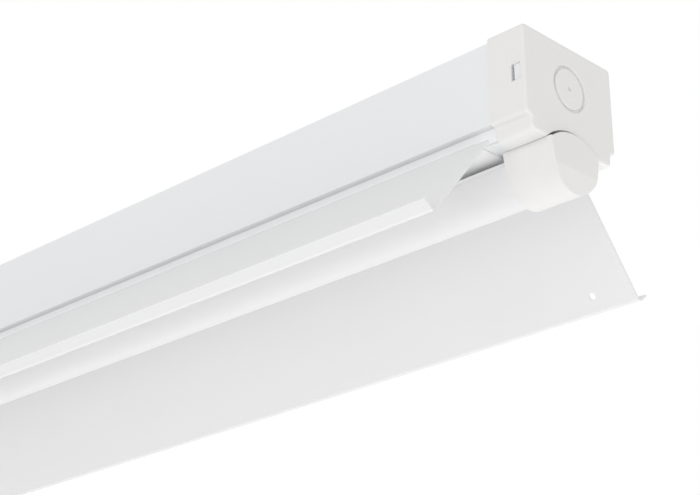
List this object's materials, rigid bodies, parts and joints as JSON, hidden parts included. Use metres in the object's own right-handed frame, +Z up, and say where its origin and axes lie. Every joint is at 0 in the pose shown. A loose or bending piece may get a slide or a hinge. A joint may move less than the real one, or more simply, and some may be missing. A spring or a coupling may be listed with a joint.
{
  "type": "led batten light",
  "caption": "Slim ceiling batten: a folded steel spine with moulded ends, a drop-down gear tray with an opal light module, and a white angled reflector.",
  "frame": {"origin": "middle of the spine's top face, between the two ceiling fixing slots", "axes": "+X along the batten, +Y across it, +Z up towards the ceiling"},
  "size_m": [1.2026, 0.1452, 0.0916],
  "materials": {
    "spine_paint": "satin powder coat",
    "cap_plastic": "fine moulded texture",
    "tray_paint": "satin powder coat",
    "reflector_paint": "satin reflector paint",
    "diffuser_opal": "opal, light-spreading",
    "diffuser_cap_plastic": "smooth moulded",
    "grommet_rubber": "matt",
    "spring_steel": "blue-grey spring steel",
    "zinc_steel": "zinc plated",
    "terminal_brass": "bright",
    "tag_tin": "tinned",
    "carrier_aluminium": "mill finish",
    "light_board": "white solder mask",
    "chip_phosphor": "phosphor lens",
    "connector_plastic": "moulded",
    "driver_plastic": "moulded",
    "driver_laminate": "glass-fibre laminate",
    "driver_dark": "moulded",
    "lead_brown": "insulation",
    "lead_blue": "insulation",
    "lead_green": "green insulation with a yellow stripe",
    "lead_red": "insulation",
    "lead_black": "insulation"
  },
  "bodies": {
    "housing": {"spine_channel": "spine_paint", "cable_grommet": "grommet_rubber"},
    "front_cap": {"end_cap_front": "cap_plastic"},
    "rear_cap": {"end_cap_rear": "cap_plastic"},
    "gear": {"gear_tray": "tray_paint", "tray_springs": "spring_steel", "spring_rivets": "zinc_steel", "reflector": "reflector_paint", "led_carrier": "carrier_aluminium", "led_board_1": "light_board", "led_board_2": "light_board", "led_board_3": "light_board", "led_board_4": "light_board", "led_chips_1": "chip_phosphor", "led_chips_2": "chip_phosphor", "led_chips_3": "chip_phosphor", "led_chips_4": "chip_phosphor", "board_screws": "zinc_steel", "board_links": "connector_plastic", "module_screws": "zinc_steel", "module_nuts": "zinc_steel", "diffuser": "diffuser_opal", "diffuser_cap_front": "diffuser_cap_plastic", "diffuser_cap_rear": "diffuser_cap_plastic", "driver_base": "driver_plastic", "driver_cover": "driver_plastic", "driver_board": "driver_laminate", "driver_components": "driver_dark", "driver_screws": "zinc_steel", "terminal_block": "connector_plastic", "terminal_screws": "terminal_brass", "terminal_fixings": "zinc_steel", "earth_stud": "terminal_brass", "earth_tag": "tag_tin", "earth_washer": "zinc_steel", "earth_nut": "terminal_brass", "live_lead": "lead_brown", "neutral_lead": "lead_blue", "earth_lead": "lead_green", "led_lead_positive": "lead_red", "led_lead_negative": "lead_black", "lead_connector": "connector_plastic", "tray_grommet": "grommet_rubber"}
  },
  "joints": [
    {"name": "front_cap_slide", "type": "slide", "parent": "housing", "child": "front_cap", "axis": [1, 0, 0], "range_m": [0, 0.04]},
    {"name": "rear_cap_slide", "type": "slide", "parent": "housing", "child": "rear_cap", "axis": [-1, 0, 0], "range_m": [0, 0.04]},
    {"name": "tray_drop", "type": "slide", "parent": "housing", "child": "gear", "axis": [0, 0, -1], "range_m": [0, 0.12]}
  ]
}
